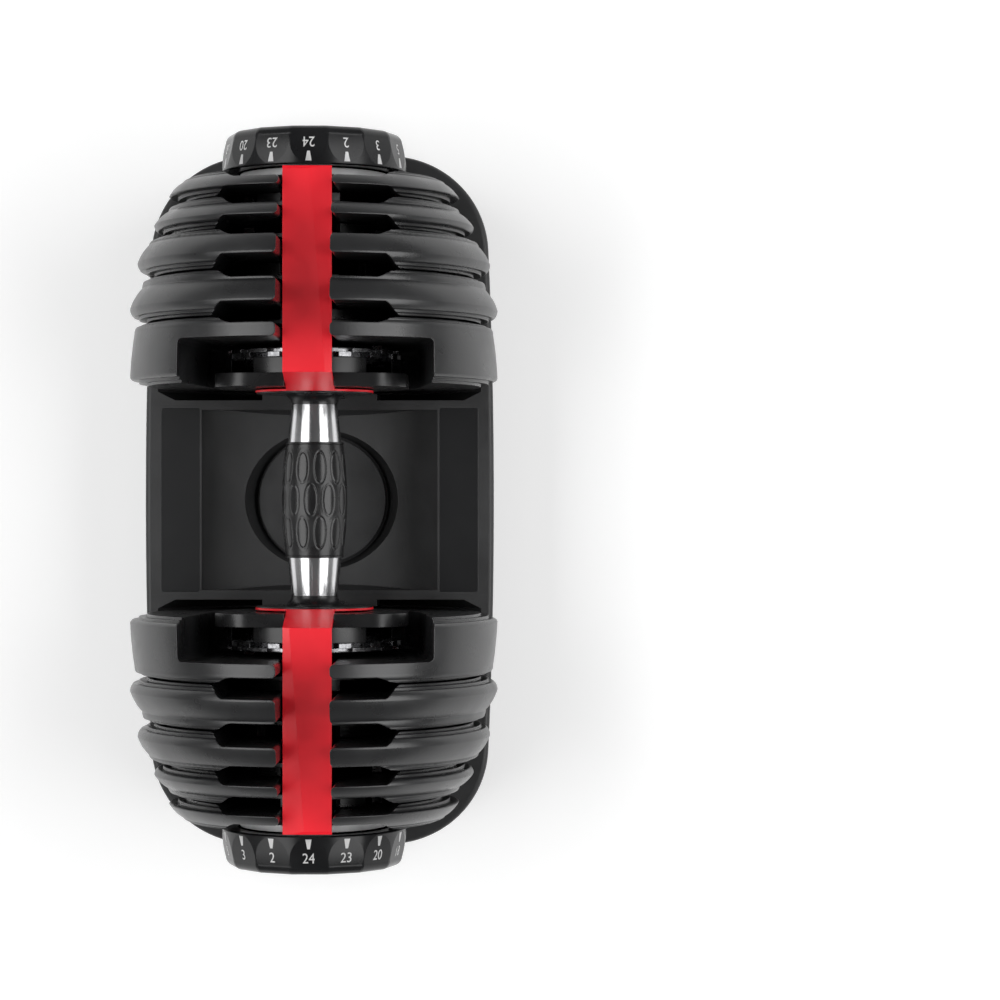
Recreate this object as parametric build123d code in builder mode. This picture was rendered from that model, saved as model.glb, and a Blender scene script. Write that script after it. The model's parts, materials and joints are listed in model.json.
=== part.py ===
from build123d import *
import os
from math import cos, radians, sin, sqrt

os.makedirs("parts", exist_ok=True)

# ---------------------------------------------------------------- driving sizes (mm)
# The handle axis runs along Y. Every piece of an end is drawn at the front end, where
# distances grow outwards from the middle of the handle, and the rear end is the same
# piece turned half a turn about the vertical.
axis_height = 123.5          # handle axis above the floor
seat_clearance = 0.4         # between a piece that lifts off and its seat
running_clearance = 0.08     # between a shaft and what turns on it
free_clearance = 1.0         # between pieces that only pass each other
room_clearance = 0.8         # from the innermost plate to the tray's wall

# weight plates, from the innermost to the outermost
plate_start = 65.2           # inner face of the innermost plate
plate_gap = 1.0              # between the flat faces of neighbouring plates
plate_widths = (35.4, 25.3, 22.0, 18.4, 14.7)
plate_radii = (105.8, 105.8, 101.5, 92.0, 83.5)
rim_drops = (2.5, 6.8, 6.5, 8.0, 7.8)         # fall of the rim to its outer edge
inner_recesses = (0.0, 6.9, 6.9, 6.0, 4.0)    # channel depth in the inner face
outer_recesses = (3.7, 4.8, 4.1, 5.6, 5.4)    # channel depth in the outer face
inner_rim_setbacks = (5.0, 7.8, 7.8, 6.5, 3.9)    # crowned rim behind the inner face
outer_rim_setbacks = (5.2, 6.0, 4.0, 4.4, 3.2)
inner_steps = (1.4, 3.0)     # setbacks of the two steps between the face and the rim
outer_steps = (0.9, 2.2)
inner_shoulder = 2.2         # fall of the rounded shoulder beside the crowned rim
outer_shoulder = 0.8
shoulder_bow = 0.35          # share of its length and fall where a shoulder bulges most
rim_lip = 3.0                # height of the shoulder over the step
rim_step = 4.5               # height of the step over the flat face
rim_crown = 0.36             # share of the rim's fall at the rim's middle
slot_width = 29.5            # the slot that the handle drops into
slot_round = 2.5
inner_channel_widths = (90.0, 104.0)    # channel for a selector disc, at its floor and mouth
outer_channel_widths = (80.0, 101.0)
channel_bow = 0.064          # bulge of each arc of a channel's side, over its chord
core_wall = 1.5              # cover over the steel between the channels
core_side_wall = 2.0         # cover over the thick part of the steel
core_edge = 5.0              # cover round the steel's rim, slot and channels

# selector mechanism
# which settings of the dial hook each plate, from the lightest setting to the heaviest
hooking_settings = (
    "000000000011111",
    "000000111111111",
    "000011000100111",
    "001100001001011",
    "010101010000001",
)
rod_radius = 8.0
tube_radius = 13.0           # drive tube that the dial turns
disc_radius = 43.0
disc_thickness = 2.5
disc_inset = 2.6             # disc behind the plate on its inner side
ridge_inner_radius = 35.5
ridge_outer_radius = 41.5
lug_width = 8.0
lug_inner_radius = 30.5
lug_clearance = 0.6          # from the lug to the ridge and to the disc
index_start = 83.5
index_thickness = 2.0
index_radius = 50.0
index_notch = 10.0           # degrees
index_notch_depth = 5.0
tab_width = 7.4
tab_length = 2.7
tab_root = 42.0              # distances of the bent tabs from the handle axis
tab_radius = 49.5
lock_ring_inner = 36.0
lock_ring_outer = 40.0
lock_ring_wall = 1.6
lock_ring_length = 6.0
lock_teeth = 60
lock_tooth_gap = 2.4
thin_selector_web = 0.8

# innermost plate's pocket for the inner housing
pocket_floor = 89.3          # outer end of the pocket
pocket_width = 124.0         # at the handle axis
pocket_mouth_width = 148.0   # at the rim
pocket_round = 3.0

# handle
flange_start = 61.9
flange_thickness = 1.2
flange_radius = 34.0
backing_thickness = 0.7      # the collar's flat disc on the flange
backing_radius = 33.4
ferrule_start = 32.2
ferrule_end = 55.2
ferrule_radius = 15.5
ferrule_end_radius = 13.25
collar_radius = 19.0
collar_flare = (58.9, 15.0)  # distance and radius where its flare turns out
grip_radius = 18.85
grip_end_radius = 16.5
grip_core_radius = 13.0
grip_ring_width = 1.0
grip_ring_radius = 16.9

# red bridge from the flange to the end plate
bridge_width = 27.4
bridge_height = 65.0         # top face above the handle axis
bridge_thickness = 2.6
bridge_overhang = 1.0        # past the outermost plate
bridge_lip = (1.8, 0.8)      # length and fall of its rounded-off end
bridge_bend = 71.2           # where it turns down to the flange
bridge_foot_height = 34.0
crease_drop = 1.3            # fall of the bridge's face from its crease to its edge
crease_at_handle = -10.7
crease_at_dial = -1.4

# inner housing and end plate
housing_start = 64.0
housing_end = 80.4
housing_half_width = 54.5
housing_top = 50.0
housing_radius = 52.0
housing_shoulder = 20.0
housing_wall = 3.0
housing_band_start = 71.5    # outer, round part of the housing
housing_room_inset = 9.0     # of the room inside
housing_hub_radius = 11.0
end_plate_inset = 1.4        # its start inside the outermost plate's channel
end_plate_thickness = 3.8
end_plate_radius = 42.7

# dial
dial_gap = 0.8               # from the end plate to the dial
dial_length = 22.3
dial_radius = 53.0
dial_round = 1.5
dial_crown = ((4.8, 0.0), (12.3, 0.8), (17.3, 2.0))    # distance and fall along the rim
dial_corner = ((20.6, 3.4), (22.3, 6.0))
dial_cavity_radius = 44.0
dial_face_thickness = 4.0
dial_hub_radius = 21.0
facet_start = 0.6            # top of a facet's arch behind the dial's inner side
facet_bend = (9.0, 1.25)     # distance and fall where a facet has sunk in
facet_depth = 0.95           # of a sunk facet below the crown
facet_reach = 14.0           # half width of what is cut for a facet
rod_setback = 7.5            # end of the rod behind the dial's face
cap_radius = 31.0
cap_bulge = 4.0
cap_plug_length = 1.2
cap_plug_wall = 1.5
bolt_head_radius = 7.5
washer_radius = 16.5
washer_thickness = 1.8
bolt_head_height = 4.2
bolt_radius = 4.0
bolt_depth = 22.0

# lock slider
lock_travel = 4.0
slider_start = 67.0
slider_thickness = 8.0
slider_half_width = 7.0
slider_top = 21.0            # distances below the handle axis
slider_bottom = 36.0
blade_thickness = 1.8
blade_tip = 35.0
blade_root = 30.4
foot_half_width = 5.0
foot_start = 58.6
foot_clearance = 0.6         # below the flange
foot_thickness = 4.0
spring_radius = 3.6
spring_wire = 0.7
spring_turns = 5

# tray
tray_floor = 1.5             # underside above the floor, on its feet
tray_height = 78.0
tray_lip = 7.74              # top of the side wall beside the widest plates
tray_end_reach = 24.0        # end of the tray past the outermost plate
tray_bulge = (5.7, 11.5)     # bulge of the sides and of the ends
tray_corner_round = 60.0
tray_rim_level = 120.0       # the rim is level this far from the middle
tray_rim_sag = 4.2           # its fall halfway from there to the end
tray_end_fall = 6.5          # of the tray's ends below the dials
tray_draft = 2.0             # degrees
tray_wall = 4.0
trough_wall = 3.5
rim_edge_round = 3.0
rib_thickness = 2.1
basin_half_width = 70.0
basin_half_length = 53.6
basin_floor_half_length = 50.8
basin_bend = 64.0            # height where its end walls turn upright
basin_rim = 76.0
basin_depth = 50.0           # height of the basin's lowest line
ring_groove_inner = 38.0
ring_groove_width = 1.6      # at its floor
ring_groove_flare = 20.0     # degrees
ring_groove_floor = 43.0
gap_start = 59.2             # open gap beside the innermost plate
gap_start_radius = 97.0
block_half_width = 34.0
block_end = 63.0
pad_margins = (1.0, 9.4)     # from a pad to the basin and to the tray's side
pad_half_length = 54.6
pad_corner_round = 1.5
pad_depth = 1.2
post_half_width = 4.5
post_start = 59.4
post_end = 62.4
horn_inner = 7.0
horn_outer = 15.5
horn_start = 60.0
horn_height = 97.0
block_top = 68.0             # inside the block that the horns and post stand on
foot_pad_radius = 9.0
foot_pad_height = 4.0
foot_pad_places = ((84.0, 70.0), (68.0, 172.0))

# ---------------------------------------------------------------- worked-out places
plate_count = len(plate_widths)
plate_inner = [
    plate_start + sum(plate_widths[:n]) + n * plate_gap for n in range(plate_count)
]
plate_outer = [inner + width for inner, width in zip(plate_inner, plate_widths)]
stack_end = plate_outer[-1]
setting_count = len(hooking_settings[0])
step_angle = 360 / setting_count
bridge_end = stack_end + bridge_overhang
end_plate_start = stack_end - end_plate_inset
dial_start = end_plate_start + end_plate_thickness + dial_gap
dial_end = dial_start + dial_length
handle_reach = dial_end - rod_setback    # half length of the rod
cap_end = dial_end + cap_bulge
room_start = plate_start - room_clearance
seat_rise = axis_height - tray_height
tray_half_width = sqrt((plate_radii[0] + seat_clearance)**2 - seat_rise**2) + tray_lip
tray_half_length = stack_end + tray_end_reach
pad_inner = basin_half_width + pad_margins[0]
pad_outer = tray_half_width - pad_margins[1]
deck_half_length = (basin_half_length + gap_start) / 2
tray_end_height = axis_height - dial_radius - tray_end_fall
handle_axis = Axis((0, 0, axis_height), (0, -1, 0))
# local x runs outwards along the handle, and local y up from its axis or across it
side_plane = Plane(origin=(0, 0, axis_height), x_dir=(0, -1, 0), z_dir=(-1, 0, 0))
level_plane = Plane(origin=(0, 0, axis_height), x_dir=(0, -1, 0), z_dir=(0, 0, 1))
far = 400.0                  # longer than anything that is cut


def face_plane(distance):
    """Plane across the handle, facing outwards, with its origin on the handle axis."""
    return Plane(origin=(0, -distance, axis_height), x_dir=(1, 0, 0), z_dir=(0, -1, 0))


def setting_angle(setting):
    """Angle of a setting's facet on its dial, with the heaviest on top."""
    return 90 + step_angle * (setting + 1)


def save(piece, name):
    piece.label = name
    export_step(piece, f"parts/{name}.step")


def both_ends(piece):
    return [piece, piece.rotate(Axis.Z, 180)]


def save_both_ends(piece, name, number=None):
    for end, copy in zip(("front", "rear"), both_ends(piece)):
        save(copy, f"{name}_{end}" if number is None else f"{name}_{end}_{number}")


def ring(start, end, inner, outer):
    """A plain sleeve round the handle axis, or a disc where inner is 0."""
    with BuildPart() as sleeve:
        with BuildSketch(face_plane(start)):
            Circle(outer)
            if inner:
                Circle(inner, mode=Mode.SUBTRACT)
        extrude(amount=end - start)
    return sleeve.part


def block(width, low, high, start, end):
    """A box centred on the handle's plane, between heights and outward distances."""
    with BuildPart() as box:
        with BuildSketch(face_plane(start)):
            with Locations((0, (low + high) / 2)):
                Rectangle(width, high - low)
        extrude(amount=end - start)
    return box.part


def channel(floor, mouth, widths):
    """A channel round the handle axis, open at the top, with sides that curve in an S."""
    low, high = Vector(floor, widths[0] / 2), Vector(mouth, widths[1] / 2)
    half = (high - low) / 2
    bow = Vector(-half.Y, half.X) * (channel_bow if mouth > floor else -channel_bow)
    with BuildSketch() as side:
        with BuildLine():
            ThreePointArc(low, low + half / 2 + bow, low + half)
            ThreePointArc(low + half, high - half / 2 - bow, high)
            Polyline(high, (mouth, 0), (floor, 0), low)
        make_face()
    with BuildPart() as cutter:
        with BuildSketch(level_plane):
            add(side.sketch)
        revolve(axis=-handle_axis, revolution_arc=180)
        with BuildSketch(level_plane):
            add(side.sketch)
            add(side.sketch.mirror(Plane.XZ))
        extrude(amount=far)
    return cutter.part


# ---------------------------------------------------------------- weight plates
def rim_arc(n, lift=0.0):
    """Three points of a plate's crowned rim, raised by a lift."""
    first, last = plate_inner[n] + inner_rim_setbacks[n], plate_outer[n] - outer_rim_setbacks[n]
    top, drop = plate_radii[n] + lift, rim_drops[n]
    return (first, top), ((first + last) / 2, top - rim_crown * drop), (last, top - drop)


def shoulder(rim, foot):
    """Three points of a rounded shoulder, from the rim out and down to its foot."""
    along, fall = foot[0] - rim[0], foot[1] - rim[1]
    bulge = (rim[0] + (1 - shoulder_bow) * along, rim[1] + shoulder_bow * fall)
    return rim, bulge, foot


def plate_profile(n):
    """Half section of a plate: flat faces, two steps at each side and a crowned rim."""
    inner, outer = plate_inner[n], plate_outer[n]
    first, crest, last = rim_arc(n)
    inner_foot = (inner + inner_steps[1], first[1] - inner_shoulder)
    outer_foot = (outer - outer_steps[1], last[1] - outer_shoulder)
    with BuildSketch(side_plane) as section:
        with BuildLine():
            ThreePointArc(*shoulder(first, inner_foot))
            Polyline(
                inner_foot,
                (inner_foot[0], inner_foot[1] - rim_lip),
                (inner + inner_steps[0], inner_foot[1] - rim_lip),
                (inner + inner_steps[0], inner_foot[1] - rim_lip - rim_step),
                (inner, inner_foot[1] - rim_lip - rim_step),
                (inner, 0),
                (outer, 0),
                (outer, outer_foot[1] - rim_lip - rim_step),
                (outer - outer_steps[0], outer_foot[1] - rim_lip - rim_step),
                (outer - outer_steps[0], outer_foot[1] - rim_lip),
                (outer_foot[0], outer_foot[1] - rim_lip),
                outer_foot,
            )
            ThreePointArc(*shoulder(last, outer_foot))
            ThreePointArc(last, crest, first)
        make_face()
    return section.sketch


def channel_floors(n):
    """Inner and outer face of a plate where its channels, or its pocket, are deepest."""
    inner = pocket_floor if n == 0 else plate_inner[n] + inner_recesses[n]
    return inner, plate_outer[n] - outer_recesses[n]


def plate_core(n):
    """Steel plate sealed inside the cover: a slotted disc, thicker beside its channels."""
    inner_floor, outer_floor = channel_floors(n)
    radius = plate_radii[n] - rim_drops[n] - core_edge
    thick_start, thick_end = plate_inner[n] + core_side_wall, plate_outer[n] - core_side_wall
    with BuildPart() as core:
        with BuildSketch(face_plane(inner_floor + core_wall)):
            Circle(radius)
            slot(slot_width + 2 * core_edge)
        extrude(amount=outer_floor - inner_floor - 2 * core_wall)
        with BuildSketch(face_plane(thick_start)):
            Circle(radius)
            slot((pocket_mouth_width if n == 0 else inner_channel_widths[1]) + 2 * core_edge)
        extrude(amount=thick_end - thick_start)
    return core.part


def slot(width):
    """Round-bottomed slot, open at the top, cut from the sketch that is being made."""
    Circle(width / 2, mode=Mode.SUBTRACT)
    with Locations((0, far / 4)):
        Rectangle(width, far / 2, mode=Mode.SUBTRACT)


def selector_span(n):
    """Web start, web end and ridge end of the disc that hooks a plate."""
    ridge_end = channel_floors(n)[0] - lug_clearance
    if n == 0:
        start = index_start + index_thickness
        return start, start + thin_selector_web, ridge_end
    start = channel_floors(n - 1)[1] + disc_inset
    return start, start + disc_thickness, ridge_end


def plate_lug(n):
    """Lug below the slot, which a ridge of the selector disc lifts."""
    face = channel_floors(n)[0]
    tip = selector_span(n)[1] + lug_clearance
    low, high = ridge_inner_radius - lug_clearance, lug_inner_radius
    with BuildPart() as lug:
        with BuildSketch(face_plane(tip)):
            with Locations((0, -(low + high) / 2)):
                Rectangle(lug_width, low - high)
        extrude(amount=face - tip)
    return lug.part


def innermost_pocket():
    """Pocket for the inner housing, wide open at the top and at the inner face."""
    with BuildPart() as pocket:
        with BuildSketch(face_plane(plate_start - free_clearance)):
            Circle(pocket_width / 2)
            with BuildLine():
                Polyline(
                    (-pocket_width / 2, 0),
                    (pocket_width / 2, 0),
                    (pocket_mouth_width / 2, plate_radii[0]),
                    (pocket_mouth_width / 2, plate_radii[0] + far / 4),
                    (-pocket_mouth_width / 2, plate_radii[0] + far / 4),
                    (-pocket_mouth_width / 2, plate_radii[0]),
                    close=True,
                )
            make_face()
        extrude(amount=pocket_floor - plate_start + free_clearance)
        fillet(pocket.faces().sort_by(Axis.Y)[0].edges(), pocket_round)
    return pocket.part


def plate(n):
    """Moulded cover of a plate, closed round its steel."""
    inner, outer = plate_inner[n], plate_outer[n]
    inner_floor, outer_floor = channel_floors(n)
    with BuildPart() as cover:
        add(plate_profile(n))
        revolve(axis=handle_axis)
        with BuildSketch(face_plane(inner - free_clearance)):
            Circle(slot_width / 2)
            with Locations((0, far / 4)):
                Rectangle(slot_width, far / 2)
        extrude(amount=outer - inner + 2 * free_clearance, mode=Mode.SUBTRACT)
        add(channel(outer_floor, outer, outer_channel_widths), mode=Mode.SUBTRACT)
        if n == 0:
            add(innermost_pocket(), mode=Mode.SUBTRACT)
        else:
            add(channel(inner_floor, inner, inner_channel_widths), mode=Mode.SUBTRACT)
        slot_edges = cover.edges().filter_by(Axis.Z)
        fillet(slot_edges.filter_by_position(Axis.X, -slot_width, slot_width), slot_round)
        add(plate_lug(n))
        add(plate_core(n), mode=Mode.SUBTRACT)
    return cover.part


for n in range(plate_count):
    save_both_ends(plate(n), "plate", n + 1)
    save_both_ends(plate_core(n), "plate_core", n + 1)


# ---------------------------------------------------------------- selector mechanism
def selector(n):
    """Disc with a ridge under the lug for each setting that hooks its plate."""
    start, web_end, ridge_end = selector_span(n)
    hole = ridge_inner_radius - 2 if n == 0 else tube_radius
    with BuildPart() as disc:
        add(ring(start, web_end, hole, disc_radius))
        for setting, hooks in enumerate(hooking_settings[n]):
            if hooks == "0":
                continue
            turn = setting_angle(setting) + 180
            with BuildSketch(face_plane(web_end)):
                with BuildLine():
                    spread = step_angle / 2
                    inner_arc = CenterArc((0, 0), ridge_inner_radius, turn - spread, step_angle)
                    outer_arc = CenterArc((0, 0), ridge_outer_radius, turn - spread, step_angle)
                    Line(inner_arc @ 0, outer_arc @ 0)
                    Line(inner_arc @ 1, outer_arc @ 1)
                make_face()
            extrude(amount=ridge_end - web_end)
    return disc.part


def index_disc():
    """Steel disc with a notch and a bent tab for each weight, and the lock's teeth."""
    ring_start = index_start - lock_ring_length
    with BuildPart() as disc:
        with BuildSketch(face_plane(index_start)):
            Circle(index_radius)
            with PolarLocations(index_radius, setting_count, start_angle=90):
                notch_width = 2 * index_radius * sin(radians(index_notch / 2))
                Rectangle(2 * index_notch_depth, notch_width, mode=Mode.SUBTRACT)
            Circle(tube_radius, mode=Mode.SUBTRACT)
        extrude(amount=index_thickness)
        with BuildSketch(face_plane(ring_start)):
            Circle(lock_ring_outer + lock_ring_wall)
            Circle(lock_ring_inner, mode=Mode.SUBTRACT)
            mouth = lock_ring_inner - lock_tooth_gap / 2
            with PolarLocations((mouth + lock_ring_outer) / 2, lock_teeth, start_angle=90):
                Rectangle(lock_ring_outer - mouth, lock_tooth_gap, mode=Mode.SUBTRACT)
        extrude(amount=lock_ring_length)
        with BuildSketch(face_plane(index_start - tab_length)):
            with PolarLocations((tab_root + tab_radius) / 2, setting_count, start_angle=90):
                Rectangle(tab_radius - tab_root, tab_width)
        extrude(amount=tab_length)
    return disc.part


for n in range(plate_count):
    save_both_ends(selector(n), "selector_disc", n + 1)
save_both_ends(index_disc(), "index_disc")
tube_bore = rod_radius + running_clearance
save_both_ends(ring(index_start, handle_reach, tube_bore, tube_radius), "drive_tube")


# ---------------------------------------------------------------- dial
def facet_cutter():
    """What the topmost facet takes off the rim: flat across, and curved along the crown."""
    rim = [(dial_start + along, dial_radius - fall) for along, fall in dial_crown + dial_corner]
    sunk = [(distance, radius - facet_depth) for distance, radius in rim[2:]]
    bend = (dial_start + facet_bend[0], dial_radius - facet_bend[1])
    top = (dial_start + facet_start, dial_radius)
    beyond = dial_end + free_clearance
    with BuildPart() as cutter:
        with BuildSketch(side_plane):
            with BuildLine():
                ThreePointArc(top, bend, sunk[0])
                ThreePointArc(*sunk)
                Polyline(
                    sunk[-1],
                    (beyond, sunk[-1][1]),
                    (beyond, dial_radius + free_clearance),
                    (top[0], dial_radius + free_clearance),
                    top,
                )
            make_face()
        extrude(amount=facet_reach, both=True)
    return cutter.part


def dial():
    """Hollow selector dial with a crowned rim and one arched facet for each setting."""
    face = dial_end - dial_face_thickness
    shape = [(dial_start + along, dial_radius - fall) for along, fall in dial_crown + dial_corner]
    with BuildPart() as knob:
        with BuildSketch(side_plane):
            with BuildLine():
                Polyline(
                    (dial_end, shape[-1][1]),
                    (dial_end, 0),
                    (dial_start, 0),
                    (dial_start, dial_radius - dial_round),
                    (dial_start + dial_round / 2, dial_radius),
                    shape[0],
                )
                ThreePointArc(*shape[:3])
                ThreePointArc(*shape[2:])
            make_face()
        revolve(axis=handle_axis)
        cutter = facet_cutter()
        for setting in range(setting_count):
            add(cutter.rotate(handle_axis, step_angle * setting), mode=Mode.SUBTRACT)
        add(ring(dial_start, face, dial_hub_radius, dial_cavity_radius), mode=Mode.SUBTRACT)
        add(ring(dial_start, handle_reach, 0, tube_radius), mode=Mode.SUBTRACT)
        add(ring(handle_reach, dial_end, 0, dial_bore()), mode=Mode.SUBTRACT)
        add(ring(dial_end - free_clearance, dial_end, 0, cap_radius), mode=Mode.SUBTRACT)
    return knob.part


def dial_bore():
    """Radius of the room for the washer."""
    return washer_radius + free_clearance


def dial_cap():
    """Domed cover over the retaining bolt, plugged into the dial's bore."""
    seat = dial_end - free_clearance
    curve = (cap_radius**2 + cap_bulge**2) / (2 * cap_bulge)
    shoulder = cap_end - curve + sqrt(curve**2 - cap_radius**2 / 4)
    plug = dial_bore()
    with BuildPart() as cap:
        with BuildSketch(side_plane):
            with BuildLine():
                Polyline((cap_end, 0), (seat, 0), (seat, cap_radius), (dial_end, cap_radius))
                ThreePointArc((dial_end, cap_radius), (shoulder, cap_radius / 2), (cap_end, 0))
            make_face()
        revolve(axis=handle_axis)
        add(ring(seat - cap_plug_length, seat, plug - cap_plug_wall, plug))
        add(ring(seat, seat + free_clearance, 0, plug - cap_plug_wall), mode=Mode.SUBTRACT)
    return cap.part


save_both_ends(dial(), "dial")
save_both_ends(dial_cap(), "dial_cap")


# ---------------------------------------------------------------- handle
def turned(*outline):
    """A round piece from its half section: straight runs through (distance, radius)."""
    with BuildPart() as piece:
        with BuildSketch(side_plane):
            with BuildLine():
                Polyline(*outline, close=True)
            make_face()
        revolve(axis=handle_axis)
    return piece.part


def handle_rod():
    """Steel rod from end to end, drilled at both ends for the retaining bolts."""
    with BuildPart() as rod:
        add(ring(-handle_reach, handle_reach, 0, rod_radius))
        for start in (-handle_reach, handle_reach - bolt_depth):
            add(ring(start, start + bolt_depth, 0, bolt_radius), mode=Mode.SUBTRACT)
    return rod.part


def retaining_bolts():
    """The two bolts with their washers, which keep the dials on."""
    seat = handle_reach + running_clearance
    head = seat + washer_thickness
    with BuildPart() as bolts:
        for end in (1, -1):
            for first, last, radius in (
                (handle_reach - bolt_depth, seat, bolt_radius),
                (seat, head, washer_radius),
                (head, head + bolt_head_height, bolt_head_radius),
            ):
                low, high = sorted((end * first, end * last))
                add(ring(low, high, 0, radius))
    return bolts.part


def grip_sleeve():
    """Rubber grip, thicker in the middle."""
    end = ferrule_start
    with BuildPart() as grip:
        with BuildSketch(side_plane):
            with BuildLine():
                ThreePointArc((-end, grip_end_radius), (0, grip_radius), (end, grip_end_radius))
                Polyline(
                    (end, grip_end_radius),
                    (end, grip_core_radius),
                    (-end, grip_core_radius),
                    (-end, grip_end_radius),
                )
            make_face()
        revolve(axis=handle_axis)
    return grip.part


def grip_rings():
    """A thin black ring between the grip and each ferrule."""
    with BuildPart() as rings:
        for start in (ferrule_start, -ferrule_start - grip_ring_width):
            add(ring(start, start + grip_ring_width, rod_radius, grip_ring_radius))
    return rings.part


def collar():
    """Black collar that flares out to a flat disc on the flange."""
    disc_start = flange_start - backing_thickness
    with BuildPart() as flare:
        with BuildSketch(side_plane):
            with BuildLine():
                Polyline(
                    (ferrule_end, ferrule_end_radius),
                    (ferrule_end, rod_radius),
                    (flange_start, rod_radius),
                    (flange_start, backing_radius),
                    (disc_start, backing_radius),
                    (disc_start, collar_radius),
                )
                start, end = (ferrule_end, ferrule_end_radius), (disc_start, collar_radius)
                ThreePointArc(end, collar_flare, start)
            make_face()
        revolve(axis=handle_axis)
    return flare.part


def crease_wedge():
    """What falls away from the bridge's top face on one side of its crease."""
    edge = -bridge_width / 2 - free_clearance
    with BuildPart() as wedge:
        for distance, crease in (
            (flange_start - free_clearance, crease_at_handle),
            (bridge_end + free_clearance, crease_at_dial),
        ):
            with BuildSketch(face_plane(distance)):
                with BuildLine():
                    Polyline(
                        (crease, bridge_height),
                        (edge, bridge_height - crease_drop),
                        (edge, bridge_height + crease_drop),
                        (crease, bridge_height + crease_drop),
                        close=True,
                    )
                make_face()
        loft()
    return wedge.part


def bridge_underside():
    """The bend's lower side, from the flange up to the strip, in the side plane."""
    flange_end = flange_start + flange_thickness
    inside = bridge_height - bridge_thickness
    return (flange_end, bridge_foot_height - flange_thickness), (bridge_bend + bridge_thickness / 2, inside)


def bridge():
    """Red strip over the plates, bent down to a round flange at the handle."""
    inside = bridge_height - bridge_thickness
    flange_end = flange_start + flange_thickness
    with BuildPart() as strip:
        with BuildSketch(side_plane):
            with BuildLine():
                Polyline(
                    (bridge_end, bridge_height - bridge_lip[1]),
                    (bridge_end - bridge_lip[0], bridge_height),
                    (bridge_bend, bridge_height),
                    (flange_start, bridge_foot_height),
                    (flange_start, bridge_foot_height - 2 * bridge_thickness),
                    (flange_end, bridge_foot_height - 2 * bridge_thickness),
                    *bridge_underside(),
                    (bridge_end, inside),
                    close=True,
                )
            make_face()
        extrude(amount=bridge_width / 2, both=True)
        add(crease_wedge(), mode=Mode.SUBTRACT)
        add(ring(flange_start, flange_end, rod_radius, flange_radius))
    return strip.part


def housing_outline(inset):
    """Round below and flat on top, with rounded shoulders, drawn smaller by an inset."""
    half_width, top = housing_half_width - inset, housing_top - inset
    with BuildSketch(Plane.XY) as outline:
        Circle(housing_radius - inset)
        with Locations((0, top / 2 - housing_shoulder / 2)):
            RectangleRounded(2 * half_width, top + housing_shoulder, housing_shoulder - inset)
        with Locations((0, top + far / 2)):
            Rectangle(far, far, mode=Mode.SUBTRACT)
    return outline.sketch


def ring_room():
    """Radius of the room inside the housing for the lock ring."""
    return lock_ring_outer + lock_ring_wall + free_clearance


def foot_top():
    """Top of the lock slider's foot below the handle axis, just under the flange."""
    return flange_radius + foot_clearance


def foot_bottom():
    return foot_top() + foot_thickness


def inner_housing():
    """Black cover over the lock, open towards the index disc and slotted for the bridge."""
    start = housing_start
    with BuildPart() as housing:
        with BuildSketch(face_plane(start)):
            add(housing_outline(0))
        extrude(amount=housing_band_start - start)
        add(ring(housing_band_start, housing_end, 0, housing_radius))
        with BuildSketch(face_plane(start + housing_wall)):
            add(housing_outline(housing_room_inset))
            Circle(ring_room())
            Circle(housing_hub_radius, mode=Mode.SUBTRACT)
        extrude(amount=housing_end - start, mode=Mode.SUBTRACT)
        add(ring(start, housing_end, 0, rod_radius), mode=Mode.SUBTRACT)
        with BuildSketch(side_plane):
            with BuildLine():
                Polyline(*bridge_underside(), (start, bridge_height), close=True)
            make_face()
        extrude(amount=bridge_width / 2 + seat_clearance, both=True, mode=Mode.SUBTRACT)
        lowest = foot_bottom() + lock_travel + free_clearance
        width = 2 * (foot_half_width + seat_clearance)
        highest = foot_top() - seat_clearance
        add(block(width, -lowest, -highest, start, start + housing_wall), mode=Mode.SUBTRACT)
    return housing.part


def end_plate():
    """Grey plate at the dial end, with a neck up to the bridge and a bore for the tube."""
    neck_top = bridge_height - bridge_thickness
    neck_half_width = bridge_width / 2 - free_clearance
    with BuildPart() as end:
        add(ring(end_plate_start, end_plate_start + end_plate_thickness, 0, end_plate_radius))
        with BuildSketch(face_plane(end_plate_start)):
            with Locations((0, neck_top / 2)):
                Rectangle(2 * neck_half_width, neck_top)
        extrude(amount=bridge_end - seat_clearance - end_plate_start)
        bore = tube_radius + running_clearance
        add(ring(end_plate_start, end_plate_start + end_plate_thickness, 0, bore),
            mode=Mode.SUBTRACT)
    return end.part


def group(pieces):
    """Separate solids that share one node."""
    with BuildPart() as members:
        for piece in pieces:
            add(piece)
    return members.part


save(handle_rod(), "handle_rod")
save(retaining_bolts(), "retaining_bolts")
save(ring(-ferrule_start, ferrule_start, rod_radius, grip_core_radius), "grip_core")
save(grip_sleeve(), "grip_sleeve")
save(grip_rings(), "grip_rings")
ferrule = turned(
    (ferrule_start + grip_ring_width, rod_radius),
    (ferrule_end, rod_radius),
    (ferrule_end, ferrule_end_radius),
    (ferrule_start + grip_ring_width, ferrule_radius),
)
save(group(both_ends(ferrule)), "ferrules")
save(group(both_ends(collar())), "collars")
save_both_ends(bridge(), "bridge")
save_both_ends(inner_housing(), "inner_housing")
save_both_ends(end_plate(), "end_plate")


# ---------------------------------------------------------------- lock
def lock_slider():
    """Slider with a blade for the lock ring and a foot that the tray's post lifts."""
    end = slider_start + slider_thickness
    blade_end = index_start - free_clearance
    with BuildPart() as slider:
        add(block(2 * slider_half_width, -slider_bottom, -slider_top, slider_start, end))
        add(block(blade_thickness, -blade_tip, -blade_root, end, blade_end))
        add(block(2 * foot_half_width, -foot_bottom(), -foot_top(), foot_start, end))
        add(block(2 * foot_half_width, -foot_bottom(), -slider_bottom, slider_start, end))
    return slider.part


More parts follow.
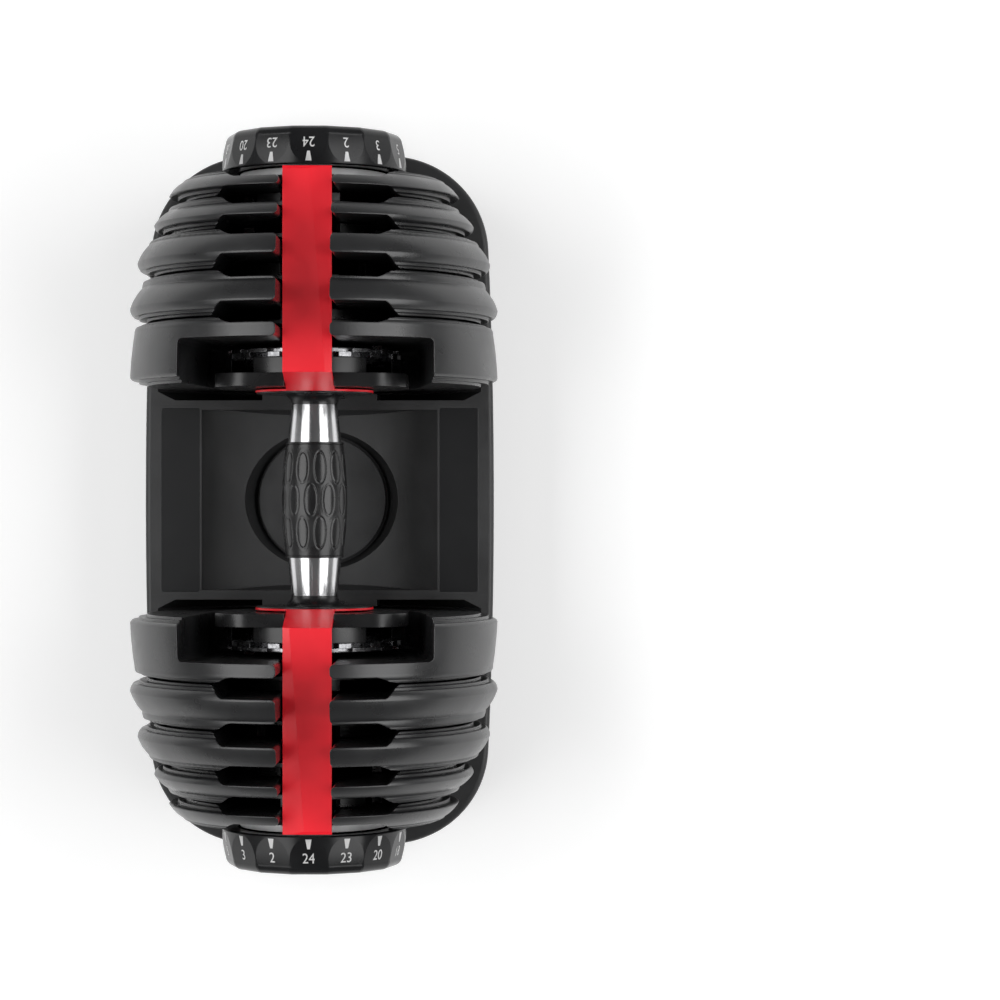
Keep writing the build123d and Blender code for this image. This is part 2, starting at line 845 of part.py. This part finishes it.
def lock_spring():
    """Coil spring between the housing's hub and the slider, at its pressed length."""
    top, low = housing_hub_radius, slider_top
    length = low - top - spring_wire
    with BuildPart() as spring:
        origin = (0, -(slider_start + slider_thickness / 2), axis_height - low + spring_wire / 2)
        with BuildLine(Plane(origin=origin)) as coil:
            Helix(pitch=length / spring_turns, height=length, radius=spring_radius)
        with BuildSketch(Plane(origin=coil.line @ 0, z_dir=coil.line % 0)):
            Circle(spring_wire / 2)
        sweep(is_frenet=True)
    return spring.part


save_both_ends(lock_slider(), "lock_slider")
save_both_ends(lock_spring(), "lock_spring")


# ---------------------------------------------------------------- tray
def floor_plane(height):
    return Plane.XY.offset(height)


def tray_outline(inset=0.0):
    """Slightly bulging sides and ends with round corners, drawn smaller by an inset."""
    middle_x, middle_y = tray_half_width - inset, tray_half_length - inset
    x, y = middle_x - tray_bulge[0], middle_y - tray_bulge[1]
    with BuildSketch() as outline:
        with BuildLine():
            ThreePointArc((x, -y), (middle_x, 0), (x, y))
            ThreePointArc((x, y), (0, middle_y), (-x, y))
            ThreePointArc((-x, y), (-middle_x, 0), (-x, -y))
            ThreePointArc((-x, -y), (0, -middle_y), (x, -y))
        make_face()
        fillet(outline.vertices(), tray_corner_round - inset)
    return outline.sketch


def rib_radius(n):
    """Inner radius of the rib between plate n and the next one out."""
    near = plate_radii[n] - rim_drops[n] - outer_shoulder
    next_out = plate_radii[n + 1] - inner_shoulder
    return max(near, next_out) - rim_lip - rim_step + free_clearance


def trough(inner_end, outer_end, grow=0.0):
    """The room for one end's plates, a fit under each crowned rim with ribs between.

    Grown by a wall, it has no ribs and is the trough's outer side.
    """
    lift = seat_clearance + grow
    corner = (inner_end, plate_radii[0] + lift)
    with BuildPart() as room:
        with BuildSketch(side_plane):
            with BuildLine():
                Line((inner_end, 0), corner)
                for n in range(plate_count):
                    first, crest, last = rim_arc(n, lift)
                    is_last = n == plate_count - 1
                    wall = outer_end if is_last else rib_middle(n) - rib_thickness / 2
                    Line(corner, first)
                    ThreePointArc(first, crest, last)
                    Line(last, (wall, last[1]))
                    if is_last:
                        Polyline((wall, last[1]), (wall, 0), (inner_end, 0))
                    else:
                        corner = (wall + rib_thickness, plate_radii[n + 1] + lift)
                        top = max(last[1], corner[1]) + grow if grow else rib_radius(n)
                        Polyline((wall, last[1]), (wall, top), (corner[0], top), corner)
            make_face()
        revolve(axis=handle_axis)
    return room.part


def rib_middle(n):
    """Middle of the valley between the stepped rims of plate n and the next one."""
    return plate_outer[n] + (plate_gap + inner_steps[0] - outer_steps[0]) / 2


def tray_slope():
    """How far the sides lean in from the rim to the floor."""
    return tray_height * sin(radians(tray_draft))


def rim_cutter():
    """Everything above the rim, which falls away in an arc towards the ends."""
    end = (tray_half_length + free_clearance, tray_end_height)
    sag = tray_height - tray_rim_sag
    middle = ((tray_rim_level + end[0]) / 2, sag)
    with BuildPart() as cutter:
        with BuildSketch(Plane(origin=(0, 0, 0), x_dir=(0, -1, 0), z_dir=(-1, 0, 0))):
            with BuildLine():
                Line((-tray_rim_level, tray_height), (tray_rim_level, tray_height))
                for side in (1, -1):
                    points = ((tray_rim_level, tray_height), middle, end)
                    ThreePointArc(*[(side * y, z) for y, z in points])
                Polyline((end[0], end[1]), (end[0], far), (-end[0], far), (-end[0], end[1]))
            make_face()
        extrude(amount=far, both=True)
    return cutter.part


def basin():
    """Hollow under the grip: a shallow trough with a ring groove and sloping ends."""
    rise = basin_rim - basin_depth
    curve = (basin_half_width**2 + rise**2) / (2 * rise)
    with BuildPart() as hollow:
        with BuildSketch(Plane.XZ.offset(-basin_half_length)):
            with BuildLine():
                ThreePointArc(
                    (-basin_half_width, basin_rim), (0, basin_depth), (basin_half_width, basin_rim)
                )
                Polyline(
                    (basin_half_width, basin_rim),
                    (basin_half_width, far),
                    (-basin_half_width, far),
                    (-basin_half_width, basin_rim),
                )
            make_face()
        extrude(amount=2 * basin_half_length)
        with BuildSketch(Plane.YZ):
            with BuildLine():
                right = [
                    (basin_floor_half_length, basin_depth),
                    (basin_half_length, basin_bend),
                    (basin_half_length, far),
                ]
                Polyline(*right, *[(-y, z) for y, z in reversed(right)], close=True)
            make_face()
        extrude(amount=far, both=True, mode=Mode.INTERSECT)
        with BuildSketch(floor_plane(ring_groove_floor)):
            Circle(ring_groove_inner + ring_groove_width)
        extrude(amount=basin_rim - ring_groove_floor, taper=-ring_groove_flare)
        with BuildSketch(floor_plane(ring_groove_floor)):
            Circle(ring_groove_inner)
        extrude(amount=basin_depth - ring_groove_floor, mode=Mode.SUBTRACT)
    return hollow.part


def side_gap():
    """Open gap beside the innermost plate, and room for the housing over the block."""
    radius = plate_radii[0] + seat_clearance
    outer_edge = ((gap_start, gap_start_radius), (room_start, radius))
    with BuildPart() as gap:
        add(turned((gap_start, 0), *outer_edge, (room_start, 0)))
        add(block(2 * block_half_width, -far, far, 0, block_end), mode=Mode.SUBTRACT)
    return gap.part


def cradle():
    """Two horns that carry the flange, and between them the post that frees the lock."""
    seat = flange_radius + seat_clearance
    root = block_top - axis_height
    top = horn_height - axis_height
    seat_start = flange_start - backing_thickness - seat_clearance
    with BuildPart() as horns:
        for side in (1, -1):
            with BuildSketch(face_plane(horn_start)):
                with Locations((side * (horn_inner + horn_outer) / 2, (root + top) / 2)):
                    Rectangle(horn_outer - horn_inner, top - root)
            extrude(amount=block_end - horn_start)
        add(ring(seat_start, block_end, 0, seat), mode=Mode.SUBTRACT)
        post_top = -foot_bottom() - seat_clearance
        add(block(2 * post_half_width, root, post_top, post_start, post_end))
    return horns.part


def pad_recess(depth):
    """Inset beside the basin, where the side pads lie."""
    with BuildPart() as recess:
        with BuildSketch(floor_plane(tray_height - depth)):
            for side in (1, -1):
                with Locations((side * (pad_inner + pad_outer) / 2, 0)):
                    RectangleRounded(pad_outer - pad_inner, 2 * pad_half_length, pad_corner_round)
        extrude(amount=depth)
    return recess.part


def foot_pads(height, radius):
    """Round rubber feet, alike in all four quarters."""
    with BuildPart() as feet:
        with BuildSketch(floor_plane(0)):
            for x, y in foot_pad_places:
                with Locations(*[(sx * x, sy * y) for sx in (1, -1) for sy in (1, -1)]):
                    Circle(radius)
        extrude(amount=height)
    return feet.part


def underside():
    """The hollow below: what is left between the outer wall and the plates' trough."""
    with BuildPart() as hollow:
        with BuildSketch(floor_plane(tray_floor)):
            add(tray_outline(tray_wall + tray_slope()))
        extrude(amount=tray_end_height - tray_wall - tray_floor)
        shell = trough(gap_start - trough_wall, stack_end + trough_wall, trough_wall)
        for piece in both_ends(shell):
            add(piece, mode=Mode.SUBTRACT)
        with BuildSketch(floor_plane(ring_groove_floor - trough_wall)):
            Rectangle(far, 2 * gap_start)
        extrude(amount=far, mode=Mode.SUBTRACT)
        add(foot_pads(far, foot_pad_radius + tray_wall), mode=Mode.SUBTRACT)
    return hollow.part


def tray():
    """Storage tray that holds both stacks of plates upright, as one moulding."""
    with BuildPart() as base:
        for height, inset in ((tray_floor, tray_slope()), (tray_height, 0)):
            with BuildSketch(floor_plane(height)):
                add(tray_outline(inset))
        loft()
        add(rim_cutter(), mode=Mode.SUBTRACT)
        top_edges = base.edges().filter_by(lambda edge: edge.center().Z > tray_end_height - free_clearance)
        fillet(top_edges, rim_edge_round)
        add(basin(), mode=Mode.SUBTRACT)
        room = trough(room_start, stack_end + free_clearance)
        for piece in both_ends(room) + both_ends(side_gap()):
            add(piece, mode=Mode.SUBTRACT)
        add(pad_recess(pad_depth), mode=Mode.SUBTRACT)
        add(underside(), mode=Mode.SUBTRACT)
        add(foot_pads(foot_pad_height, foot_pad_radius), mode=Mode.SUBTRACT)
        for piece in both_ends(cradle()):
            add(piece)
    return base.part


def tray_section(start, end):
    """What lies between two distances of the tray, which is screwed up from three parts."""
    with BuildPart() as section:
        add(whole_tray)
        add(block(far, -far, far, start, end), mode=Mode.INTERSECT)
    return section.part


whole_tray = tray()
save(tray_section(-deck_half_length, deck_half_length), "tray_deck")
save_both_ends(tray_section(deck_half_length, far), "tray_end")
save(pad_recess(pad_depth), "side_pads")
save(foot_pads(foot_pad_height, foot_pad_radius), "rubber_feet")
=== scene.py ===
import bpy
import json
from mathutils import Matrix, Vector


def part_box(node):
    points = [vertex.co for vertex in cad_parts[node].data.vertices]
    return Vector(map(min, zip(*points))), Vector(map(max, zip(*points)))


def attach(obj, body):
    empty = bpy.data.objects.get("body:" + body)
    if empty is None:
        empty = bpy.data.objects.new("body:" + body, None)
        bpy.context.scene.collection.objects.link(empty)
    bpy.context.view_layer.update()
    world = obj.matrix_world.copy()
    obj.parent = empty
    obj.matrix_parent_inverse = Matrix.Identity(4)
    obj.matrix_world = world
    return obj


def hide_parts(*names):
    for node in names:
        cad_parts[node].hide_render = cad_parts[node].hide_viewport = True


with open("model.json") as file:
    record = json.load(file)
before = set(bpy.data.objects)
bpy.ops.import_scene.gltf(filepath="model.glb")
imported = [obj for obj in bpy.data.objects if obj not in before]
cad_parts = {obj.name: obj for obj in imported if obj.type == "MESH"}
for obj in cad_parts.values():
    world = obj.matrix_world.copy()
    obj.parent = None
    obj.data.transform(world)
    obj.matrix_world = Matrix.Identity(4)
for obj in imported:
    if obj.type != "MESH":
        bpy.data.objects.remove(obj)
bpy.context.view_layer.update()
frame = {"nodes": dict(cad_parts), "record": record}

import json
from math import cos, pi, radians, sin, sqrt

import bmesh
import bpy
from mathutils import Matrix, Vector

MM = 0.001
ENDS = {"front": -1, "rear": 1}        # end name -> its direction along Y
WEIGHTS = (2, 3, 5, 6, 7, 8, 9, 10, 11, 14, 16, 18, 20, 23, 24)

nodes = frame["nodes"]
rod_low, rod_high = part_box("handle_rod")
AXIS_Z = (rod_low.z + rod_high.z) / 2   # height of the handle axis


# ---------------------------------------------------------------- materials
NOISE_LOW, NOISE_HIGH = 0.3, 0.7   # most of a noise texture's values lie between these
EDGE_HIGHLIGHT_START, EDGE_HIGHLIGHT_FULL = 0.985, 0.80   # cosine of the bend where the painted edge highlight starts and is full
PATCH_LOW = 0.35               # how strong the painted edge highlight still is in its weakest patches
PATCH_SCALE = 160              # features per metre
CLOUD_SCALE = 45
LINE_SCALE = 500
HIGHLIGHT_GAIN, HIGHLIGHT_LIFT = 1.9, 0.006   # an edge with the painted highlight has gain * colour + lift
LINE_GLOSS_LOW, LINE_GLOSS_HIGH = 0.7, 1.5   # roughness along a metal's lines, over its own
METAL_EDGE = 0.3 * MM          # radius that a metal's edges look rounded to
BEVEL_SAMPLES = 6


def new_material(name, color, roughness, metallic=0.0):
    """A Principled material and its shader, with constants on the shader's own sockets."""
    material = bpy.data.materials.new(name)
    material.use_nodes = True
    shader = material.node_tree.nodes["Principled BSDF"]
    shader.inputs["Base Color"].default_value = (*color, 1)
    shader.inputs["Roughness"].default_value = roughness
    shader.inputs["Metallic"].default_value = metallic
    return material, shader


def add_node(material, kind, **values):
    node = material.node_tree.nodes.new(kind)
    for key, value in values.items():
        if key in node.inputs:
            node.inputs[key].default_value = value
        else:
            setattr(node, key, value)
    return node


def link(material, out, into):
    material.node_tree.links.new(out, into)


def noise(material, scale, detail=3.0, stretch=(1, 1, 1)):
    """Noise in metres of the object's own frame, with its scale in features per metre."""
    place = add_node(material, "ShaderNodeTexCoord")
    mapping = add_node(material, "ShaderNodeMapping")
    mapping.inputs["Scale"].default_value = stretch
    texture = add_node(material, "ShaderNodeTexNoise", Scale=scale, Detail=detail)
    link(material, place.outputs["Object"], mapping.inputs["Vector"])
    link(material, mapping.outputs["Vector"], texture.inputs["Vector"])
    return texture.outputs["Fac"]


def spread(material, source, low, high):
    """Noise value turned into a value between low and high."""
    ramp = add_node(material, "ShaderNodeMapRange")
    ramp.inputs["From Min"].default_value = NOISE_LOW
    ramp.inputs["From Max"].default_value = NOISE_HIGH
    ramp.inputs["To Min"].default_value = low
    ramp.inputs["To Max"].default_value = high
    link(material, source, ramp.inputs["Value"])
    return ramp.outputs["Result"]


def mix_colors(material, factor, first, second):
    mix = add_node(material, "ShaderNodeMix", data_type="RGBA")
    mix.inputs["A"].default_value = (*first, 1)
    mix.inputs["B"].default_value = (*second, 1)
    link(material, factor, mix.inputs["Factor"])
    return mix.outputs["Result"]


def edge_mask(material, rounded, patches):
    """How much painted highlight the surface gets: most on convex and concave edges, in uneven
    patches.
    """
    flat = add_node(material, "ShaderNodeNewGeometry")
    alike = add_node(material, "ShaderNodeVectorMath", operation="DOT_PRODUCT")
    link(material, rounded, alike.inputs[0])
    link(material, flat.outputs["Normal"], alike.inputs[1])
    mask = add_node(material, "ShaderNodeMapRange")
    mask.inputs["From Min"].default_value = EDGE_HIGHLIGHT_START
    mask.inputs["From Max"].default_value = EDGE_HIGHLIGHT_FULL
    link(material, alike.outputs["Value"], mask.inputs["Value"])
    product = add_node(material, "ShaderNodeMath", operation="MULTIPLY")
    link(material, mask.outputs["Result"], product.inputs[0])
    link(material, spread(material, patches, PATCH_LOW, 1.0), product.inputs[1])
    return product.outputs["Value"]


def moulded(name, color, roughness, grain_depth=0.03, edge=0.6 * MM, ior=1.5,
            metallic=0.0, mottle=0.2, uneven=0.055, grain_scale=1400):
    """Moulded plastic: fine spark grain, slightly uneven gloss, softly rounded edges lightened
    by a painted highlight.
    """
    material, shader = new_material(name, color, roughness, metallic)
    shader.inputs["IOR"].default_value = ior
    grain = noise(material, grain_scale, 4)
    cloud = noise(material, CLOUD_SCALE, 3)
    bevel = add_node(material, "ShaderNodeBevel", samples=BEVEL_SAMPLES, Radius=edge)
    lighter = tuple(min(1.0, (1 + mottle) * c) for c in color)
    darker = tuple((1 - mottle) * c for c in color)
    tint = mix_colors(material, spread(material, cloud, 0, 1), darker, lighter)
    # The lighter colour along the edges is a painted highlight, in uneven patches.
    highlight_color = tuple(min(1.0, HIGHLIGHT_GAIN * c + HIGHLIGHT_LIFT) for c in color)
    patches = noise(material, PATCH_SCALE, 2)
    edges = edge_mask(material, bevel.outputs["Normal"], patches)
    highlighted = add_node(material, "ShaderNodeMix", data_type="RGBA")
    link(material, edges, highlighted.inputs["Factor"])
    link(material, tint, highlighted.inputs["A"])
    highlighted.inputs["B"].default_value = (*highlight_color, 1)
    link(material, highlighted.outputs["Result"], shader.inputs["Base Color"])
    gloss = spread(material, cloud, roughness - uneven, roughness + uneven)
    link(material, gloss, shader.inputs["Roughness"])
    bump = add_node(material, "ShaderNodeBump", Strength=1.0, Distance=grain_depth * MM)
    link(material, grain, bump.inputs["Height"])
    link(material, bevel.outputs["Normal"], bump.inputs["Normal"])
    link(material, bump.outputs["Normal"], shader.inputs["Normal"])
    return material


def metal(name, color, roughness, stretch, scratch=0.004):
    """Metal with fine lines along one direction."""
    material, shader = new_material(name, color, roughness, 1.0)
    lines = noise(material, LINE_SCALE, 2, stretch)
    gloss = spread(material, lines, roughness * LINE_GLOSS_LOW,
                   roughness * LINE_GLOSS_HIGH)
    link(material, gloss, shader.inputs["Roughness"])
    bump = add_node(material, "ShaderNodeBump", Strength=1.0, Distance=scratch * MM)
    bevel = add_node(material, "ShaderNodeBevel", samples=BEVEL_SAMPLES, Radius=METAL_EDGE)
    link(material, lines, bump.inputs["Height"])
    link(material, bevel.outputs["Normal"], bump.inputs["Normal"])
    link(material, bump.outputs["Normal"], shader.inputs["Normal"])
    return material


plate_plastic = moulded("plate_plastic", (0.012, 0.0122, 0.013), 0.30, 0.06, 0.9 * MM, 1.6,
                        grain_scale=1000)
tray_plastic = moulded("tray_plastic", (0.023, 0.0232, 0.024), 0.48, 0.05, 0.25 * MM,
                       grain_scale=900)
pad_plastic = moulded("pad_plastic", (0.010, 0.0102, 0.011), 0.30, 0.004, mottle=0.05,
                      uneven=0.01)
dial_plastic = moulded("dial_plastic", (0.010, 0.0102, 0.011), 0.22, 0.010, ior=1.38)
black_plastic = moulded("black_plastic", (0.008, 0.008, 0.0085), 0.28, 0.012)
grey_plastic = moulded("grey_plastic", (0.60, 0.602, 0.605), 0.45, 0.02)
red_plastic = moulded("red_plastic", (0.92, 0.010, 0.024), 0.38, 0.004, 0.4 * MM,
                      mottle=0.04)
rubber = moulded("rubber", (0.012, 0.012, 0.0125), 0.28, 0.015)
steel = metal("steel", (0.30, 0.30, 0.31), 0.26, (1, 1, 0.05), 0.01)
core_steel = metal("core_steel", (0.25, 0.25, 0.26), 0.45, (1, 1, 1), 0.02)
chrome = metal("chrome", (0.64, 0.64, 0.65), 0.17, (1, 0.02, 1), 0.001)
rubber_smooth = moulded("rubber_smooth", (0.011, 0.011, 0.0115), 0.21, 0.002)
white_paint = moulded("white_paint", (0.62, 0.62, 0.62), 0.5, 0.004, 0.02 * MM)

FINISHES = {
    "tray_plastic": tray_plastic, "pad_plastic": pad_plastic, "plate_plastic": plate_plastic,
    "dial_plastic": dial_plastic, "black_plastic": black_plastic, "grey_plastic": grey_plastic,
    "red_plastic": red_plastic, "rubber": rubber, "steel": steel, "chrome": chrome,
    "core_steel": core_steel,
}
for part in frame["record"]["subparts"]:
    mesh = nodes[part["node"]].data
    mesh.materials.clear()
    mesh.materials.append(FINISHES[part["material_slot"]])


# ---------------------------------------------------------------- pieces
def mesh_piece(name, points, faces, materials, body, smooth=True):
    mesh = bpy.data.meshes.new(name)
    mesh.from_pydata(points, [], faces)
    for material in materials:
        mesh.materials.append(material)
    mesh.update()
    for polygon in mesh.polygons:
        polygon.use_smooth = smooth
    piece = bpy.data.objects.new(name, mesh)
    bpy.context.scene.collection.objects.link(piece)
    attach(piece, body)
    return piece


FACET_START = 188.8            # distance of a facet's inner end from the middle, in mm
FACET_RADIUS = 53.0            # its distance from the axis there
FACET_FALL = 0.1206            # slope of a facet at its inner end
FACET_CURVE = 0.00335          # how fast the slope grows, per mm
POINTER_MIDDLE = 192.8         # distances of the marks from the middle, in mm
NUMBER_MIDDLE = 200.8
NUMBER_HEIGHT = 5.8 * MM
NUMBER_SQUEEZE = 0.86          # the numbers' width over the font's own
POINTER_WIDE, POINTER_NARROW, POINTER_HALF = 1.75 * MM, 0.75 * MM, 2.8 * MM
STEP_ANGLE = 360 / len(WEIGHTS)
MARK_HEIGHT = 0.12 * MM        # painted marks stand this far over the facet


def facet_frame(end, weight, distance):
    """Frame on a dial facet: x to the right, y towards the plates, z outward."""
    angle = radians(90 + STEP_ANGLE * (WEIGHTS.index(weight) + 1))
    out = Vector((cos(angle), 0, sin(angle)))
    right = Vector((sin(angle), 0, -cos(angle)))
    along = distance - FACET_START
    slope = FACET_FALL + 2 * FACET_CURVE * along
    up = (Vector((0, 1, 0)) + out * slope).normalized()
    radius = (FACET_RADIUS - FACET_FALL * along - FACET_CURVE * along**2) * MM
    place = Vector((0, -distance * MM, AXIS_Z)) + out * radius
    matrix = Matrix((right, up, right.cross(up))).transposed().to_4x4()
    matrix.translation = place
    if end == "rear":
        matrix = Matrix.Rotation(pi, 4, "Z") @ matrix
    return matrix


def pointer(end, weight):
    """White wedge, wide at the plates' side."""
    wide, narrow, half = POINTER_WIDE, POINTER_NARROW, POINTER_HALF
    frame_at = facet_frame(end, weight, POINTER_MIDDLE)
    corners = [(-wide, half), (-narrow, -half), (narrow, -half), (wide, half)]
    low = [frame_at @ Vector((x, y, -MARK_HEIGHT)) for x, y in corners]
    high = [frame_at @ Vector((x, y, MARK_HEIGHT)) for x, y in corners]
    sides = [(k, (k + 1) % 4, (k + 1) % 4 + 4, k + 4) for k in range(4)]
    return low + high, [(3, 2, 1, 0), (4, 5, 6, 7)] + sides


def number_mesh(text, height, width_scale):
    """Plain number as a mesh, centred."""
    curve = bpy.data.curves.new("number", "FONT")
    curve.body = text
    curve.extrude = 1.0
    curve.resolution_u = 6
    holder = bpy.data.objects.new("number", curve)
    bpy.context.scene.collection.objects.link(holder)
    bpy.context.view_layer.update()
    graph = bpy.context.evaluated_depsgraph_get()
    mesh = bpy.data.meshes.new_from_object(holder.evaluated_get(graph))
    bpy.data.objects.remove(holder)
    work = bmesh.new()
    work.from_mesh(mesh)
    bmesh.ops.remove_doubles(work, verts=work.verts, dist=1e-5)
    xs = [v.co.x for v in work.verts]
    ys = [v.co.y for v in work.verts]
    scale = height / (max(ys) - min(ys))
    middle = (max(xs) + min(xs)) / 2
    centre = (max(ys) + min(ys)) / 2
    points = [Vector(((v.co.x - middle) * scale * width_scale, (v.co.y - centre) * scale,
                      v.co.z * MARK_HEIGHT)) for v in work.verts]
    work.verts.index_update()
    faces = [[v.index for v in face.verts] for face in work.faces]
    work.free()
    return points, faces


def dial_marks(end):
    """The pointers and numbers of one dial, as one painted piece each."""
    pointer_points, pointer_faces, number_points, number_faces = [], [], [], []
    for weight in WEIGHTS:
        points, faces = pointer(end, weight)
        base = len(pointer_points)
        pointer_points += points
        pointer_faces += [[base + k for k in face] for face in faces]
        points, faces = number_mesh(str(weight), NUMBER_HEIGHT, NUMBER_SQUEEZE)
        place = facet_frame(end, weight, NUMBER_MIDDLE)
        base = len(number_points)
        number_points += [place @ p for p in points]
        number_faces += [[base + k for k in face] for face in faces]
    body = f"dial_{end}"
    mesh_piece(f"pointers_{end}", pointer_points, pointer_faces, [white_paint], body,
               smooth=False)
    mesh_piece(f"numbers_{end}", number_points, number_faces, [white_paint], body,
               smooth=False)


GRIP_HALF = 32.2 * MM
GRIP_END_RADIUS = 16.5 * MM
GRIP_RADIUS = 18.85 * MM
OVAL_COUNT = 11
OVAL_HALF_WIDTH = 3.6 * MM
OVAL_HALF_LENGTH = 8.9 * MM
OVAL_ROWS = ((18.7 * MM, 13.5), (0.0, -2.9), (-18.7 * MM, 13.5))   # middle, first angle
OVAL_POWER = 2.2               # how blunt the ovals' ends are
OVAL_SMOOTH = 0.97             # share of an oval that has the smooth rubber
GROOVE = (0.26 * MM, 1.0, 0.10)   # depth, oval_distance of its middle, half width there
LIP = (0.05 * MM, 1.2, 0.12)      # height, and the same two
DOME_HEIGHT = 0.08 * MM
GRIP_SINK = 0.06 * MM          # the barrel's surface under the grip's own radius


def grip_radius(y):
    """The grip's barrel: an arc between its two end radii."""
    rise = GRIP_RADIUS - GRIP_END_RADIUS
    curve = (GRIP_HALF**2 + rise**2) / (2 * rise)
    return sqrt(curve**2 - y**2) - (curve - GRIP_RADIUS)


def oval_distance(y, angle):
    """Distance from the middle of the nearest oval, 1 on its outline."""
    pitch = 360 / OVAL_COUNT
    best = 9.0
    for middle, first in OVAL_ROWS:
        turn = (angle - first + pitch / 2) % pitch - pitch / 2
        across = radians(turn) * GRIP_RADIUS / OVAL_HALF_WIDTH
        along = (y - middle) / OVAL_HALF_LENGTH
        best = min(best, sqrt(across**2 + abs(along) ** OVAL_POWER))
    return best


def grip_relief(distance):
    """Height over the barrel: a dome in each oval, then a groove and a raised lip round it."""
    groove, lip = (size * max(0.0, 1 - ((distance - place) / half) ** 2)
                   for size, place, half in (GROOVE, LIP))
    dome = DOME_HEIGHT * max(0.0, 1 - distance**2)
    return dome + lip - groove - GRIP_SINK


def grip_skin():
    """Rubber sleeve of the grip, with rows of smooth ovals."""
    around, along = 396, 200
    points, faces, smooth_faces = [], [], []
    for row in range(along + 1):
        y = GRIP_HALF * (2 * row / along - 1)
        for column in range(around):
            angle = 360 * column / around
            radius = grip_radius(y) + grip_relief(oval_distance(y, angle))
            turn = radians(angle)
            points.append((radius * sin(turn), y, AXIS_Z + radius * cos(turn)))
    for row in range(along):
        for column in range(around):
            near, far = row * around, (row + 1) * around
            following = (column + 1) % around
            faces.append((near + column, near + following, far + following, far + column))
            y = GRIP_HALF * ((2 * row + 1) / along - 1)
            smooth_faces.append(oval_distance(y, 360 * (column + 0.5) / around) < OVAL_SMOOTH)
    for start, step in ((0, -1), (along * around, 1)):
        faces.append([start + column for column in range(around)][::step])
        smooth_faces.append(False)
    piece = mesh_piece("grip_skin", points, faces, [rubber, rubber_smooth], "handle")
    for polygon, is_smooth in zip(piece.data.polygons, smooth_faces):
        polygon.material_index = int(is_smooth)
    for polygon in list(piece.data.polygons)[-2:]:
        polygon.use_smooth = False
    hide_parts("grip_sleeve")


for end in ENDS:
    dial_marks(end)
grip_skin()


# ---------------------------------------------------------------- floor, light, camera
FLOOR_SIZE = 8.0
FLOOR_LIFT = 0.22              # strength of the light added for the rays in make_floor
LAMP_DISTANCE = 1.7            # from the handle axis
LAMP_LENGTH = 2.2
LAMP_RADIANCE = 3.1
SOFTBOXES = {"left_softbox": (-40, 1.05), "right_softbox": (47, 1.1)}   # angle, width
FILL_SIZE = (1.2, 1.6)
FILL_HEIGHT = 2.1              # over the handle axis
FILL_RADIANCE = 0.5
WORLD_STOPS = ((0.05, 0.3), (0.75, 0.10))   # height of a direction, and its grey level
CAMERA_PLACE = (0.1072, 0.0, AXIS_Z + 1.650)
CAMERA_LENS = 102.744


def make_floor():
    """White floor, brighter to rays from the camera, off gloss and through clear pieces."""
    bpy.ops.mesh.primitive_plane_add(size=FLOOR_SIZE)
    floor = bpy.context.object
    floor.name = "floor"
    material, shader = new_material("floor_white", (0.93, 0.93, 0.93), 0.9)
    shader.inputs["Specular IOR Level"].default_value = 0.1
    path = add_node(material, "ShaderNodeLightPath")
    seen = add_node(material, "ShaderNodeMath", operation="MAXIMUM")
    link(material, path.outputs["Is Camera Ray"], seen.inputs[0])
    link(material, path.outputs["Is Glossy Ray"], seen.inputs[1])
    either = add_node(material, "ShaderNodeMath", operation="MAXIMUM")
    link(material, seen.outputs[0], either.inputs[0])
    link(material, path.outputs["Is Transmission Ray"], either.inputs[1])
    lift = add_node(material, "ShaderNodeMath", operation="MULTIPLY")
    link(material, either.outputs[0], lift.inputs[0])
    lift.inputs[1].default_value = FLOOR_LIFT
    shader.inputs["Emission Color"].default_value = (1, 1, 1, 1)
    link(material, lift.outputs[0], shader.inputs["Emission Strength"])
    floor.data.materials.append(material)


def softbox(name, angle, width, length, radiance):
    """Rectangular lamp beside the camera, at an angle from straight up, facing the object."""
    turn = radians(angle)
    data = bpy.data.lights.new(name, "AREA")
    data.shape = "RECTANGLE"
    data.size, data.size_y = width, length
    data.energy = radiance * pi * width * length
    lamp = bpy.data.objects.new(name, data)
    bpy.context.scene.collection.objects.link(lamp)
    lamp.location = (LAMP_DISTANCE * sin(turn), 0, AXIS_Z + LAMP_DISTANCE * cos(turn))
    lamp.rotation_euler = (0, turn, 0)
    lamp.visible_camera = False
    return lamp


def overhead_fill():
    """Large soft lamp above the camera that lights matt surfaces and isn't mirrored."""
    lamp = softbox("overhead_fill", 0, *FILL_SIZE, FILL_RADIANCE)
    lamp.location.z = AXIS_Z + FILL_HEIGHT
    lamp.visible_glossy = False


def make_world():
    """Plain studio: darker overhead, pale round the horizon."""
    world = bpy.data.worlds.new("studio")
    world.use_nodes = True
    tree = world.node_tree
    place = tree.nodes.new("ShaderNodeTexCoord")
    split = tree.nodes.new("ShaderNodeSeparateXYZ")
    ramp = tree.nodes.new("ShaderNodeValToRGB")
    tree.links.new(place.outputs["Generated"], split.inputs["Vector"])
    tree.links.new(split.outputs["Z"], ramp.inputs["Fac"])
    for stop, (height, level) in zip(ramp.color_ramp.elements, WORLD_STOPS):
        stop.position = height
        stop.color = (level, level, level, 1)
    tree.links.new(ramp.outputs["Color"], tree.nodes["Background"].inputs["Color"])
    bpy.context.scene.world = world


def make_camera():
    """Straight down, with the optical axis beside the object, as in the photograph."""
    data = bpy.data.cameras.new("camera")
    data.sensor_width = 36.0
    data.lens = CAMERA_LENS
    data.clip_end = 20
    camera = bpy.data.objects.new("camera", data)
    camera.location = CAMERA_PLACE
    bpy.context.scene.collection.objects.link(camera)
    bpy.context.scene.camera = camera


make_floor()
make_world()
for name, (angle, width) in SOFTBOXES.items():
    softbox(name, angle, width, LAMP_LENGTH, LAMP_RADIANCE)
overhead_fill()
make_camera()
bpy.context.scene.view_settings.view_transform = "Standard"
